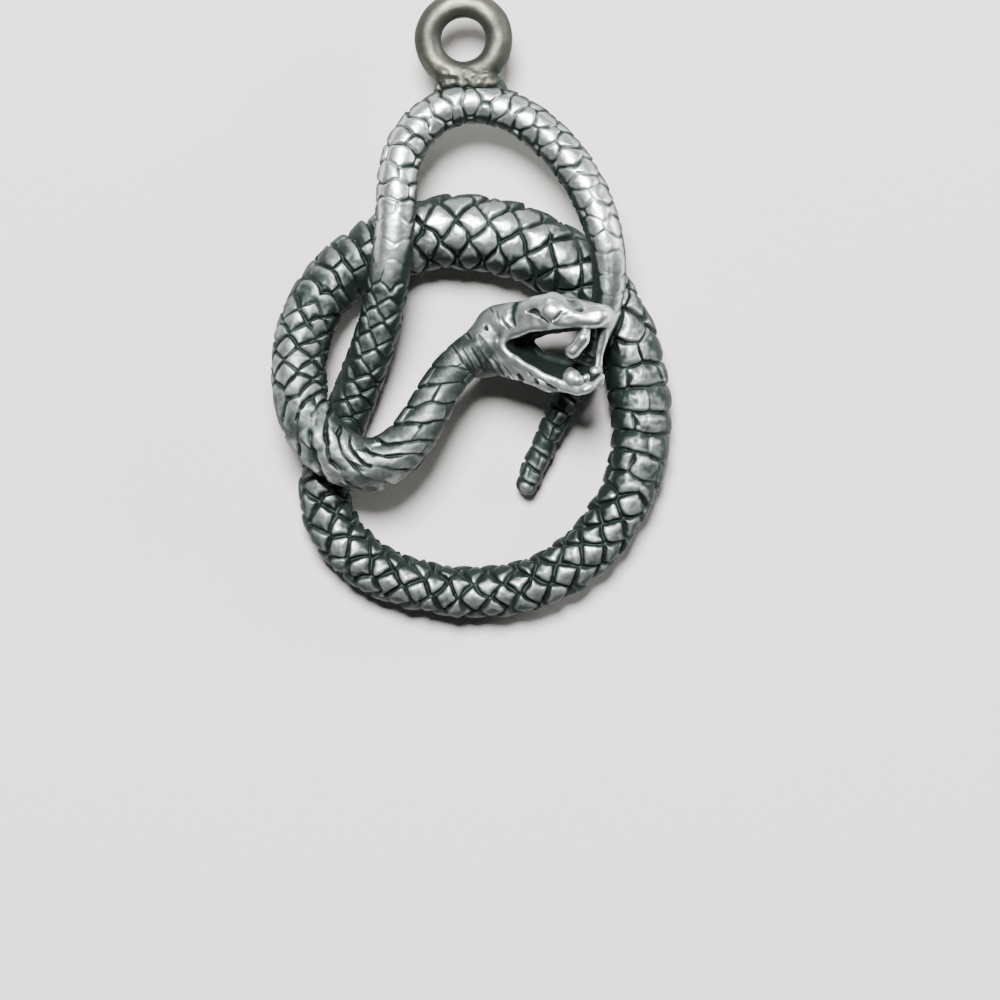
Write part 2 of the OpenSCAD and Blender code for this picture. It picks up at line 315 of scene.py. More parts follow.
# Lines cut into both sides of the head or raised on them: the half width, the height (negative
# is cut), and the places that each runs through, across and along the pendant as seen from the
# front
LINES = (
    # The groove behind the brow, and marks on the nape
    (0.20, -0.06, ((1.83, 0.07), (1.69, -0.11), (1.62, -0.35), (1.61, -0.61), (1.71, -0.91))),
    (0.06, -0.05, ((0.98, -0.29), (1.03, -0.48), (1.09, -0.69))),
    (0.08, -0.09, ((0.51, -0.95), (0.65, -1.07))),
    (0.10, 0.025, ((1.26, -0.51), (1.42, -0.76), (1.67, -1.00))),
    (0.06, -0.04, ((1.14, -0.59), (1.30, -0.85), (1.50, -1.04))),
    (0.05, -0.04, ((0.74, -0.19), (0.86, -0.39))),
    # The dark corner of the eye's socket, and the edge that runs under the eye to a point
    (0.16, -0.17, ((2.23, -0.36), (2.47, -0.32), (2.69, -0.53))),
    (0.09, -0.08, ((2.60, -0.50), (2.89, -0.71), (3.08, -0.88))),
    (0.09, -0.07, ((3.22, -0.76), (3.38, -0.60), (3.56, -0.37))),
    # The dips behind the snout and above its lip
    (0.34, -0.06, ((3.81, 0.29), (4.01, -0.01), (4.33, -0.32))),
    (0.18, -0.025, ((3.69, -0.52), (4.07, -0.33), (4.61, -0.27), (5.07, -0.24))),
    # The edge of the jaw's muscle
    (0.20, -0.03, ((0.29, -1.29), (0.53, -1.65), (0.81, -2.03), (1.09, -2.48))),
    # The marks along the lower jaw
    (0.07, -0.10, ((2.67, -3.01), (3.01, -3.25), (3.41, -3.45))),
    (0.06, -0.08, ((1.41, -2.88), (1.57, -3.04))),
    (0.06, -0.08, ((1.87, -2.81), (2.07, -3.07))),
    (0.06, -0.06, ((2.24, -2.75), (2.39, -2.95))),
    (0.07, -0.08, ((2.47, -3.01), (2.67, -3.20))),
    (0.10, 0.06, ((2.47, -3.18), (2.81, -3.36), (3.17, -3.52))),
    (0.09, 0.05, ((4.47, -3.47), (4.87, -3.28), (5.11, -3.05))),
    # Wrinkles across the neck
    (0.08, -0.035, ((-0.78, -1.65), (-0.46, -2.17), (-0.28, -2.53))),
    (0.07, -0.03, ((-0.38, -1.77), (-0.06, -2.29), (0.22, -2.77))),
    (0.08, -0.04, ((0.02, -1.81), (0.38, -2.37), (0.66, -2.87))),
    (0.07, -0.03, ((0.38, -1.93), (0.74, -2.45), (1.06, -2.93))),
    (0.08, -0.035, ((0.74, -2.13), (1.06, -2.53), (1.38, -2.97))),
    (0.07, -0.03, ((1.22, -2.45), (1.50, -2.76), (1.78, -3.08))),
    (0.07, -0.09, ((1.82, -2.82), (1.96, -3.03), (2.08, -3.24))),
    (0.08, -0.04, ((-1.02, -1.77), (-0.76, -2.23), (-0.62, -2.53))),
    (0.08, -0.07, ((0.52, -0.87), (0.66, -1.03))),
    (0.07, -0.05, ((-0.22, -1.11), (-0.01, -1.41))),
)

# The ring's middle, and the points round the ring and round its wire
RING_AT = (-0.32, 10.57, 2.5)
RING_TURNS = 96
WIRE_SIDES = 40

# Where the ring is rubbed brighter, with a painted highlight there, as seen from the front:
# across, along, radius. Round each place the oxide grows back over this many millimetres.
WORN_AND_HIGHLIT = ((-1.35, 9.50, 0.45), (-0.10, 12.45, 1.00))
RUBBED_EDGE = 0.45

# The solder between the ring and the loop, as balls: across, along, height, radius. The ring
# grows lumpy towards it, between these places along the pendant.
SOLDER = (
    (-1.12, 8.58, 2.30, 0.40), (-0.66, 8.84, 2.50, 0.50), (-0.05, 8.98, 2.66, 0.52),
    (0.55, 8.94, 2.62, 0.50), (1.02, 8.60, 2.32, 0.42),
)
SOLDER_LUMPS = (9.5, 9.0)

# The silver's clouds of tarnish, grain and hammer marks, in lumps for each metre
SILVER_CLOUDS, SILVER_GRAIN, HAMMER_MARKS = 900.0, 9000.0, 3000.0

# The tarnish and painted shade between which silver turns from bright to dark, how metallic the
# oxide and the painted shade are, how far the grain roughens the silver, and how the grain, the
# hammer marks and the whole relief count
SILVER_SHADES = (0.05, 0.95)
OXIDE_METALLIC = 0.75
GRAIN_ROUGHNESS = 0.12
GRAIN_RELIEF, HAMMER_RELIEF, WHOLE_RELIEF = 0.25, 1.2, 0.5

# The middle of the view, on the pendant's plane, in millimetres
VIEW_AT = (1.14, -7.812, 2.0)

# The lights: name, place and size in metres, and power in watts
LIGHTS = (
    ("key", (-0.03, 0.16, 0.38), 0.15, 5.6),
    ("rim", (0.25, 0.10, 0.10), 0.12, 0.4),
)


def ramp(values, low, high):
    """0 up to low, 1 past high and even between them. High may be the lesser."""
    return np.clip((values - low) / (high - low), 0, 1)


def curve_at(table, s):
    """A place on the smooth curve that a table's rows draw, where s counts the rows."""
    i = np.floor(s).astype(int)
    t = (s - i)[:, None]

    def row(n):
        return table[np.clip(n, 0, len(table) - 1)]

    return (
        (1 - t) ** 3 * row(i - 1)
        + (3 * t**3 - 6 * t**2 + 4) * row(i)
        + (-3 * t**3 + 3 * t**2 + 3 * t + 1) * row(i + 1)
        + t**3 * row(i + 2)
    ) / 6


def maths(operation, turned=False):
    """A method that adds a Math node. Turned, what it is called on comes last."""
    def method(self, *others):
        values = (*others, self) if turned else (self, *others)
        return self.nodes.add("ShaderNodeMath", {"operation": operation}, *values).out()

    return method


class Val:
    """A node's output that takes part in sums: each operator adds a Math node to its tree."""

    def __init__(self, nodes, socket):
        self.nodes = nodes
        self.socket = socket

    __add__ = __radd__ = maths("ADD")
    __sub__ = maths("SUBTRACT")
    __rsub__ = maths("SUBTRACT", turned=True)
    __mul__ = __rmul__ = maths("MULTIPLY")
    __truediv__ = maths("DIVIDE")
    __rtruediv__ = maths("DIVIDE", turned=True)
    __pow__ = maths("POWER")
    __abs__ = maths("ABSOLUTE")
    sine = maths("SINE")
    cosine = maths("COSINE")
    fract = maths("FRACT")
    floor = maths("FLOOR")
    wrap = maths("FLOORED_MODULO")
    least = maths("MINIMUM")
    most = maths("MAXIMUM")
    above = maths("GREATER_THAN")

    def __neg__(self):
        return self * -1

    def smooth(self, low, high):
        """0 below low, 1 above high and an easy slope between them."""
        node = self.nodes.add(
            "ShaderNodeMapRange", {"interpolation_type": "SMOOTHSTEP"}, self, low, high
        )
        return node.out()

    def mix(self, start, end):
        """start where this is 0 and end where it is 1."""
        return start + (end - start) * self


class Made:
    """A node that has been added, whose outputs are asked for by place or name."""

    def __init__(self, nodes, node):
        self.nodes = nodes
        self.node = node

    def out(self, which=0):
        return Val(self.nodes, self.node.outputs[which])


class Nodes:
    """Adds nodes to one tree, from their type, their settings and what their inputs get."""

    def __init__(self, tree):
        self.tree = tree

    def feed(self, socket, value):
        if isinstance(value, Val):
            self.tree.links.new(value.socket, socket)
        else:
            socket.default_value = value

    def add(self, kind, settings=None, *values, **named):
        node = self.tree.nodes.new(kind)
        for key, value in (settings or {}).items():
            setattr(node, key, value)
        for socket, value in zip(node.inputs, values):
            if value is not None:
                self.feed(socket, value)
        for key, value in named.items():
            self.feed(node.inputs[key.replace("_", " ")], value)
        return Made(self, node)

    def vector(self, operation, *values, out="Vector", **named):
        return self.add("ShaderNodeVectorMath", {"operation": operation}, *values, **named).out(out)

    def colours(self, share, start, end):
        """A colour between two others."""
        return self.add(
            "ShaderNodeMix", {"data_type": "RGBA"}, share, None, None, None, None, None, start, end
        ).out(2)

    def attribute(self, name, kind="FLOAT"):
        return self.add("GeometryNodeInputNamedAttribute", {"data_type": kind}, name).out()

    def store(self, geometry, name, value, kind="FLOAT"):
        settings = {"data_type": kind, "domain": "POINT"}
        return self.add(
            "GeometryNodeStoreNamedAttribute", settings, geometry, None, name, value
        ).out()


def measure(step=0.01):
    """Rows of the body's table, finely spaced, with the millimetres and the rings of scales that
    lie before each of them."""
    rows = np.arange(0, len(BODY) - 1, step)
    places = curve_at(BODY, rows)[:, :3]
    gaps = np.linalg.norm(np.diff(places, axis=0), axis=1)
    ring = np.interp(rows[1:], PATTERN_ROWS, RING_LENGTHS)
    travel = np.concatenate([[0], np.cumsum(gaps)])
    rings = np.concatenate([[0], np.cumsum(gaps / ring)])
    return rows, travel, rings


# What a point of the route carries after its place: names of the columns, in order
CARRIED = (
    "thick", "along", "count", "length", "point", "lean", "strength", "broad", "missing", "swell",
    "oxide_and_shading",
)


def route(first, last, spacing):
    """Evenly spaced points along the body between two rows: place, then what CARRIED names. It
    runs on inside the stretches next to it."""
    rows, travel, rings = measure()
    start, end = np.interp([first, last], rows, travel)
    low, high = max(start - JOINT, 0), min(end + JOINT, travel[-1])
    reach = np.linspace(low, high, int(round((high - low) / spacing)) + 1)
    at = np.interp(reach, travel, rows)
    beyond = np.maximum(np.maximum(start - reach, reach - end), 0) / JOINT
    skin = curve_at(BODY, at)
    skin[:, 3] *= 1 - JOINT_SINK * beyond**2
    section = np.searchsorted(PATTERN_ROWS, at, side="right") - 1
    blend = [np.interp(at, PATTERN_ROWS, column) for column in PATTERN.T[2:]]
    return np.column_stack([skin, np.interp(at, rows, rings), SCALES_ROUND[section], *blend])


def rounded_tip(points, rings=8):
    """The route with the tip of the tail added: its thickness shrinks along a quarter circle."""
    last = points[-1]
    ahead = points[-1, :3] - points[-2, :3]
    ahead = ahead / np.linalg.norm(ahead)
    added = []
    for k in range(1, rings + 1):
        angle = math.pi / 2 * k / (rings + 0.5)
        tip = last.copy()
        tip[:3] += ahead * last[3] / 2 * math.sin(angle)
        tip[3] *= math.cos(angle)
        added.append(tip)
    return np.vstack([points, added])


# The tree's inputs that hold sizes, each the value of the property of that name
SCALE_SIZES = (
    "Groove width", "Groove depth", "Crown", "Overlap", "Tilt", "Unevenness", "Wander",
    "Missing cuts",
)


def scaled_body_tree():
    """The node tree that sweeps a round body along its route and cuts the scales into it."""
    tree = bpy.data.node_groups.new("Scaled body", "GeometryNodeTree")
    face = tree.interface
    face.new_socket("Route", in_out="INPUT", socket_type="NodeSocketGeometry")
    face.new_socket("Sides", in_out="INPUT", socket_type="NodeSocketInt")
    for name in SCALE_SIZES:
        face.new_socket(name, in_out="INPUT", socket_type="NodeSocketFloat")
    face.new_socket("Silver", in_out="INPUT", socket_type="NodeSocketMaterial")
    face.new_socket("Body", in_out="OUTPUT", socket_type="NodeSocketGeometry")
    n = Nodes(tree)
    given = n.add("NodeGroupInput")

    line = n.add("GeometryNodeMeshToCurve", None, given.out("Route")).out()
    line = n.add("GeometryNodeSetCurveNormal", {"mode": "Z_UP"}, line).out()
    place = n.add("GeometryNodeInputPosition").out()
    line = n.store(line, "middle", place, "FLOAT_VECTOR")
    circle = n.add("GeometryNodeCurvePrimitiveCircle", None, given.out("Sides")).out()
    circle = n.store(circle, "turn", n.add("GeometryNodeSplineParameter").out("Factor"))
    thick = n.attribute("thick")
    skin = n.add(
        "GeometryNodeCurveToMesh", None, line, circle, Scale=thick * 0.5, Fill_Caps=True
    ).out()

    turn, count, length = n.attribute("turn"), n.attribute("count"), n.attribute("length")
    point, strength = n.attribute("point"), n.attribute("strength")
    across = turn * count
    leaning = (turn * (2 * math.pi)).cosine() * n.attribute("lean")
    rings = -(n.attribute("along") + leaning)
    ring = rings.floor()

    # Every second ring is turned by half a scale, and each scale's edge towards the tail is
    # drawn to a point. A place belongs to this ring's scale or to the one that it lies over.
    here = (across + ring * 0.5).fract() - 0.5
    beside = (across + ring * 0.5 + 0.5).fract() - 0.5
    past_own = rings - ring - (abs(here) * 2) ** POINT_CURVE * point
    edge_beside = (abs(beside) * 2) ** POINT_CURVE * point
    own = past_own.above(0.0)
    from_edge = own.mix(rings - ring + 1 - edge_beside, past_own)
    to_next = own.mix(-past_own, ring + 1 + edge_beside - rings)
    sideways = own.mix(beside, here)
    scale_ring = ring - 1 + own
    scale_turn = (across + scale_ring * 0.5).floor().wrap(count)
    cut_turn = (across + scale_ring * 0.5 + 0.5).floor().wrap(count)

    def chances(turn_number, seed):
        """Three random shares for each scale or cut."""
        mark = n.add("ShaderNodeCombineXYZ", None, scale_ring, turn_number, seed).out()
        random = n.add("ShaderNodeTexWhiteNoise", {"noise_dimensions": "3D"}, mark).out("Color")
        return n.add("ShaderNodeSeparateXYZ", None, random)

    def clouds(number, detail=1.0, out="Fac"):
        return n.add("ShaderNodeTexNoise", None, place, Scale=number, Detail=detail).out(out)

    # The distance to the nearest groove, in millimetres
    width = thick * math.pi / count
    gone = n.attribute("missing")
    turning = (turn * (2 * math.pi)).sine() * n.attribute("lean") * 2 / thick
    slope = ((1 / length) ** 2 + (point * 2 / width) ** 2 + turning ** 2) ** 0.5
    missing = (gone * given.out("Missing cuts")).above(chances(cut_turn, CUT_SEED).out("X"))
    to_cut = (0.5 - abs(sideways)) * width + missing * FAR_OFF
    near = (from_edge.least(to_next) / slope).least(to_cut)

    # Where many lines are missing, the rest are worn off in places, and all differ in width
    kept = clouds(WORN).smooth(gone * WORN_MORE + WORN_SHADES[0], WORN_SHADES[1])
    strength = strength * kept.mix(1 - gone, 1.0)
    half = thick * given.out("Groove width") * n.attribute("broad") * 0.5
    half = half * clouds(PRESSED).smooth(*PRESSED_SHADES).mix(*PRESSED_WIDTHS)
    flat = near.smooth(0.0, half)
    pillow = (near / (thick * ROUNDED_RIM)).least(1.0)
    pillow = pillow * (2 - pillow)
    covered = from_edge / (from_edge + to_next)
    chance = chances(scale_turn, TILT_SEED)
    rise = (flat - 1) * given.out("Groove depth") * strength
    rise = rise + (pillow - 1) * given.out("Crown") * strength * n.attribute("swell")
    tilted = (chance.out("X") - 0.5) * sideways + (chance.out("Y") - 0.5) * (covered - 0.5)
    tilted = tilted * n.attribute("swell").least(1.0)
    lifted = (0.5 - covered) * given.out("Overlap") + tilted * given.out("Tilt")
    lifted = lifted + (chance.out("Z") - 0.5) * given.out("Unevenness")
    rise = rise + lifted * flat * strength
    lumps, dents = clouds(LUMPS, 2.0) - 0.5, clouds(DENTS) - 0.5
    rise = rise + (lumps * LUMP_HEIGHT + dents * DENT_HEIGHT) * given.out("Unevenness")

    middle = n.attribute("middle", "FLOAT_VECTOR")
    spoke = n.vector("SUBTRACT", place, middle)
    shaped = n.vector("ADD", middle, n.vector("SCALE", spoke, Scale=rise + 1))

    # Hand work wanders: the lines drift over the skin by amounts that change slowly
    drift = n.vector("SUBTRACT", clouds(DRIFT, out="Color"), (0.5, 0.5, 0.5))
    outward = n.vector("NORMALIZE", spoke)
    lift = n.vector("DOT_PRODUCT", drift, outward, out="Value")
    drift = n.vector("SUBTRACT", drift, n.vector("SCALE", outward, Scale=lift))
    shaped = n.vector("ADD", shaped, n.vector("SCALE", drift, Scale=given.out("Wander")))

    skin = n.store(skin, "groove", (1 - flat) * strength)
    skin = n.add("GeometryNodeSetPosition", None, skin, None, shaped).out()
    skin = n.add("GeometryNodeSetShadeSmooth", None, skin).out()
    skin = n.add("GeometryNodeRealizeInstances", None, skin).out()
    skin = n.add("GeometryNodeSetMaterial", None, skin, None, given.out("Silver")).out()
    n.add("NodeGroupOutput", None, skin)
    return tree


def set_inputs(modifier, values):
    """Sets a modifier's inputs by their names in its tree."""
    for item in modifier.node_group.interface.items_tree:
        if item.name in values:
            modifier[item.identifier] = values[item.name]


def new_object(name, data):
    made = bpy.data.objects.new(name, data)
    bpy.context.scene.collection.objects.link(made)
    return made


def plain_mesh(holder, name):
    """The mesh that an object's modifiers make, in metres, as a new object in its place."""
    graph = bpy.context.evaluated_depsgraph_get()
    mesh = bpy.data.meshes.new_from_object(holder.evaluated_get(graph))
    bpy.data.objects.remove(holder)
    mesh.name = name
    mesh.transform(Matrix.Scale(MM, 4))
    return new_object(name, mesh)


def mount(piece):
    """Puts a finished piece on the pendant's body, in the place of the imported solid."""
    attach(piece, BODY_NAME)
    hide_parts(NODE)


def read_vertices(mesh, what):
    values = np.empty(len(mesh.vertices) * 3)
    mesh.vertices.foreach_get(what, values)
    return values.reshape(-1, 3)


def points_of(mesh):
    return read_vertices(mesh, "co")


def normals_of(mesh):
    return read_vertices(mesh, "normal")


def write_points(mesh, co):
    mesh.vertices.foreach_set("co", co.astype(np.float32).ravel())
    mesh.update()


def read_attribute(mesh, name):
    if name not in mesh.attributes:
        return np.zeros(len(mesh.vertices))
    values = np.empty(len(mesh.vertices))
    mesh.attributes[name].data.foreach_get("value", values)
    return values


def write_attribute(mesh, name, values):
    layer = mesh.attributes.get(name) or mesh.attributes.new(name, "FLOAT", "POINT")
    layer.data.foreach_set("value", np.asarray(values, dtype=np.float32))


def body_stretch(name, first, last, tree, silver):
    """One stretch of the scaled body, as a plain mesh."""
    look = bpy.context.scene.pendant_body
    spacing = look.spacing / MM
    along = route(first, last, spacing)
    thickest = along[:, 3].max()
    if last >= len(BODY) - 1:
        along = rounded_tip(along)
    line = bpy.data.meshes.new(name)
    edges = [(i, i + 1) for i in range(len(along) - 1)]
    line.from_pydata(along[:, :3].tolist(), edges, [])
    for column, label in enumerate(CARRIED, start=3):
        write_attribute(line, label, along[:, column])
    holder = new_object(name + "_route", line)
    modifier = holder.modifiers.new("Scaled body", "NODES")
    modifier.node_group = tree
    inputs = {size: getattr(look, size.lower().replace(" ", "_")) for size in SCALE_SIZES}
    inputs["Wander"] = look.wander / MM
    inputs["Sides"] = round(math.pi * thickest / spacing)
    inputs["Silver"] = silver
    set_inputs(modifier, inputs)
    piece = plain_mesh(holder, name)
    ease(piece.data, 2)
    return piece


def ball_points(centre, radius, rings=10):
    """Points spread over a ball."""
    spread = []
    for i in range(rings + 1):
        tilt = math.pi * i / rings
        count = max(1, int(round(2 * rings * math.sin(tilt))))
        for j in range(count):
            turn = 2 * math.pi * j / count
            spread.append((
                centre[0] + radius * math.sin(tilt) * math.cos(turn),
                centre[1] + radius * math.sin(tilt) * math.sin(turn),
                centre[2] + radius * math.cos(tilt),
            ))
    return spread


def add_hull(form, balls):
    """Adds to a bmesh the skin that is stretched round some balls."""
    made = [form.verts.new(p) for b in balls for p in ball_points(b[:3], b[3])]
    result = bmesh.ops.convex_hull(form, input=made, use_existing_faces=False)
    spare = set(result["geom_interior"] + result["geom_unused"])
    inside = [g for g in spare if isinstance(g, bmesh.types.BMVert)]
    bmesh.ops.delete(form, geom=inside, context="VERTS")


def chain(form, table):
    """Adds the skin round each ball and the next."""
    for one, two in zip(table, table[1:]):
        add_hull(form, (one, two))


def mirrored(ball):
    """A ball's twin on the far side of the head."""
    return (ball[0], ball[1], -ball[2], ball[3])


def broad(form, table):
    """Adds a form that reaches from each ball to the next and to their twins."""
    for one, two in zip(table, table[1:]):
        add_hull(form, (one, mirrored(one), two, mirrored(two)))


def jaw_wall(form, near, far, keel, rim_r):
    """Adds one length of the lower jaw's wall, from both rims down to its keel."""
    balls = [(x, y - rim_r, z, rim_r * JAW_WALL) for x, y, z in (*near, *far)]
    balls += [(*place, rim_r * JAW_KEEL) for place in keel]
    add_hull(form, balls)


def head_mass(form):
    """The skull, the jaws and the neck, on the head's own axes."""
    look = bpy.context.scene.pendant_head
    broad(form, SKULL)
    broad(form, PALATE)
    broad(form, THROAT)
    for side in (lambda b: b, mirrored):
        brow, lip = [side(b) for b in BROW], [side(b) for b in LIP]
        chain(form, brow)
        chain(form, lip)
        for k in range(len(BROW) - 1):
            add_hull(form, (*brow[k:k + 2], *lip[k:k + 2]))
        chain(form, [side(b) for b in HINGE])
        chain(form, [side(b) for b in CORNER])
    rim_r = look.jaw_rim / 2 / MM
    for k in range(len(KEEL) - 1):
        both = slice(k, k + 2)
        jaw_wall(form, NEAR_RIM[both], FAR_RIM[both], KEEL[both], rim_r)
    for rim in (NEAR_RIM, FAR_RIM, (NEAR_RIM[-1], JAW_TIP, FAR_RIM[-1])):
        chain(form, [(*place, rim_r) for place in rim])
    chain(form, CHEEK)
    eye = (*EYE_AT, look.eye_r / MM)
    for ball in (eye, mirrored(eye)):
        chain(form, (ball, ball))
    rows, radii = zip(*NECK)
    to_head = head_axes().inverted()
    places = curve_at(BODY, np.array(rows))[:, :3]
    neck = [(*(to_head @ Vector(place)), radius) for place, radius in zip(places, radii)]
    chain(form, [SKULL[0], *neck])


def head_details(form):
    """The fangs and the tongue."""
    chain(form, NEAR_FANG)
    chain(form, FAR_FANG)
    for lump in TONGUE:
        chain(form, (lump, lump))


def ring_form(form, hole_r, wire_r, land_half):
    """Adds the ring of round wire, with a short straight wall in its hole."""
    ring_r = hole_r + math.sqrt(wire_r**2 - land_half**2)
    loops = []
    for i in range(RING_TURNS):
        turn = 2 * math.pi * i / RING_TURNS
        loop = []
        for j in range(WIRE_SIDES):
            tilt = 2 * math.pi * j / WIRE_SIDES
            out = max(hole_r, ring_r + wire_r * math.cos(tilt))
            loop.append(form.verts.new((
                RING_AT[0] + out * math.cos(turn),
                RING_AT[1] + out * math.sin(turn),
                RING_AT[2] + wire_r * math.sin(tilt),
            )))
        loops.append(loop)
    for one, two in zip(loops, loops[1:] + loops[:1]):
        for j in range(WIRE_SIDES):
            k = (j + 1) % WIRE_SIDES
            form.faces.new((one[j], two[j], two[k], one[k]))


def head_axes():
    """The matrix that sets the head's own axes into the pendant."""
    turn = Matrix.Rotation(-bpy.context.scene.pendant_head.turn, 4, "Y")
    return Matrix.Translation(MOUTH_AT) @ turn


def line_share(places, line, half):
    """1 in the middle of a line through some points and 0 past its edge, which narrows towards
    both ends."""
    steps = [np.linalg.norm(np.subtract(b, a)) for a, b in zip(line, line[1:])]
    whole = sum(steps)
    before = 0
    best = np.zeros(len(places))
    for a, b, step in zip(line, line[1:], steps):
        a, b = np.array(a), np.array(b)
        share = np.clip((places - a) @ (b - a) / step**2, 0, 1)
        away = np.linalg.norm(places - a - share[:, None] * (b - a), axis=1)
        through = (before + share * step) / whole
        width = half * (1 - 0.6 * (2 * through - 1) ** 2)
        best = np.maximum(best, np.clip(1 - (away / width) ** 2, 0, 1))
        before += step
    return best**1.5


def painted_mouth_shade(mesh):
    """1 where the skin turns to the middle of the open mouth and 0 elsewhere, so that shade is
    painted inside the mouth, but not on the fangs and the tongue."""
    co, normals = points_of(mesh), normals_of(mesh)
    way = np.array(MOUTH_MIDDLE) - co
    away = np.linalg.norm(way, axis=1)
    turned = np.einsum("ij,ij->i", normals, way) / away
    share = ramp(turned, *MOUTH_TURN) * ramp(co[:, 0], *MOUTH_BACK)
    bare = np.full(len(co), FAR_OFF)
    for ball in (*NEAR_FANG, *FAR_FANG[2:], *TONGUE):
        bare = np.minimum(bare, np.linalg.norm(co - ball[:3], axis=1) - ball[3])
    return share * ramp(bare, 0, BRIGHT_NEAR)


def work_lines(mesh):
    """Cuts and raises the head's lines. Returns how deep each point was cut, from 0 to 1."""
    co, normals = points_of(mesh), normals_of(mesh)
    axes = np.array(head_axes())
    out = abs(co[:, 2])
    near_side = np.column_stack([co[:, :2], out])
    seen = (near_side @ axes[:3, :3].T + axes[:3, 3])[:, :2]
    facing = ramp(normals[:, 2] * np.sign(co[:, 2]), 0, TO_SIDE) * (out > MIDDLE_STRIP)
    cut = np.zeros(len(co))
    push = np.zeros(len(co))
    for half, height, line in LINES:
        share = line_share(seen, line, half) * facing
        push += share * height
        if height < 0:
            cut = np.maximum(cut, share * min(1, (abs(height) / DARK_LINE) ** 1.5))
    write_points(mesh, co + normals * push[:, None])
    ease(mesh, 3)
    return cut


def head_oxide_and_shade(co):
    """How dark the head is painted: oxide on its neck, and painted shade down the neck from its
    top, under its jaw, on its far side and between the brows and the snout."""
    look = bpy.context.scene.pendant_tarnish
    ahead, up, out = co.T
    # Painted shade down the neck from its top
    under_top = np.maximum(ramp(up, *NECK_TOP_SHADE), NECK_TOP_LEAST)
    oxide_and_shading = look.neck * ramp(ahead, *NECK_OXIDE) * under_top
    # Painted shade under the jaw, towards the far side and in the saddle
    oxide_and_shading += look.jaw * ramp(up, *JAW_SHADE) + look.far_side * ramp(out, *FAR_SIDE_SHADE)
    return oxide_and_shading + look.saddle * ramp(np.linalg.norm(co - SADDLE_AT, axis=1), *SADDLE_SHADE)


def neighbours(mesh):
    """Both directions of every edge, and how many neighbours each point has."""
    pairs = np.empty(len(mesh.edges) * 2, dtype=np.int32)
    mesh.edges.foreach_get("vertices", pairs)
    a = np.concatenate([pairs[0::2], pairs[1::2]])
    b = np.concatenate([pairs[1::2], pairs[0::2]])
    return a, b, np.maximum(np.bincount(a, minlength=len(mesh.vertices)), 1)


def average(co, links):
    """Every point's neighbours' average."""
    a, b, count = links
    columns = range(co.shape[1])
    sums = [np.bincount(a, weights=co[b, k], minlength=len(co)) for k in columns]
    return np.column_stack(sums) / count[:, None]


def ease(mesh, rounds, back=STEP_OUT):
    """Smooths a mesh and keeps its size: each step in is followed by a step back out."""
    links = neighbours(mesh)
    co = points_of(mesh)
    for _ in range(rounds):
        co = co + STEP_IN * (average(co, links) - co)
        co = co - back * (average(co, links) - co)
    write_points(mesh, co)


def dent(mesh, size, height, seed=0.0, share=1.0):
    """Moves the skin in and out by a slow noise, as hand work does, in millimetres."""
    co, normals = points_of(mesh), normals_of(mesh)
    shift = [noise.noise(Vector(p) / size + Vector((seed, 0, 0))) for p in co]
    write_points(mesh, co + normals * (np.array(shift) * height * share)[:, None])


def mesh_of(form, name):
    mesh = bpy.data.meshes.new(name)
    form.to_mesh(mesh)
    return mesh


def remesh(mesh, name, voxel, rounds, back=STEP_OUT):
    """One closed skin over overlapping forms, in millimetres."""
    holder = new_object(name, mesh)
    modifier = holder.modifiers.new("Skin", "REMESH")
    modifier.mode = "VOXEL"
    modifier.voxel_size = voxel
    modifier.use_smooth_shade = True
    graph = bpy.context.evaluated_depsgraph_get()
    made = bpy.data.meshes.new_from_object(holder.evaluated_get(graph))
    bpy.data.objects.remove(holder)
    ease(made, rounds, back)
    return made


def finish_mesh(mesh, name, silver):
    """A mesh in millimetres as a smooth object in metres, in its silver."""
    for polygon in mesh.polygons:
        polygon.use_smooth = True
    mesh.materials.clear()
    mesh.materials.append(silver)
    mesh.transform(Matrix.Scale(MM, 4))
    mesh.name = name
    return new_object(name, mesh)


def silver_material(name, bright, roughness):
    """Oxidised silver: bright where it is rubbed or a highlight is painted, dark where the metal is
    cut, oxidised or painted with shade.
    """
    look = bpy.context.scene.pendant_silver
    material = bpy.data.materials.new(name)
    material.use_nodes = True
    tree = material.node_tree
    tree.nodes.clear()
    n = Nodes(tree)
    place = n.add("ShaderNodeTexCoord").out("Object")

    def clouds(number, detail=3.0):
        """A noise round 0."""
        settings = {"noise_dimensions": "3D"}
        made = n.add("ShaderNodeTexNoise", settings, place, Scale=number, Detail=detail)
        return made.out("Fac") - 0.5

    tarnish = n.add("ShaderNodeAttribute", {"attribute_name": "tarnish"}).out("Fac")
    grain = clouds(SILVER_GRAIN)
    dark = tarnish + clouds(SILVER_CLOUDS) * look.cloudiness + grain * look.graininess
    dark = dark.most(0.0).least(1.0).smooth(*SILVER_SHADES)
    colour = n.colours(dark, (*bright, 1), (*look.tarnish, 1))
    rough = dark.mix(roughness, look.tarnish_roughness) + grain * GRAIN_ROUGHNESS
    height = grain * GRAIN_RELIEF + clouds(HAMMER_MARKS, 1.0) * HAMMER_RELIEF
    bump = n.add(
        "ShaderNodeBump", None, Strength=WHOLE_RELIEF, Distance=look.relief, Height=height
    )
    shader = n.add(
        "ShaderNodeBsdfPrincipled", None, Base_Color=colour,
        Metallic=dark.mix(1.0, OXIDE_METALLIC), Roughness=rough, Normal=bump.out()
    )
    n.add("ShaderNodeOutputMaterial", None, shader.out())
    return material


def pendant_silver():
    """The silver of the body and the head, made once."""
    look = bpy.context.scene.pendant_silver
    name = "oxidised_silver"
    made = bpy.data.materials.get(name)
    return made or silver_material(name, look.bright, look.roughness)


def ring_silver():
    look = bpy.context.scene.pendant_silver
    return silver_material("dull_silver", look.dull, look.dull_roughness)


def share_of(name, description, default):
    return FloatProperty(
        name=name, description=description, default=default, min=0, soft_max=2, subtype="FACTOR"
    )


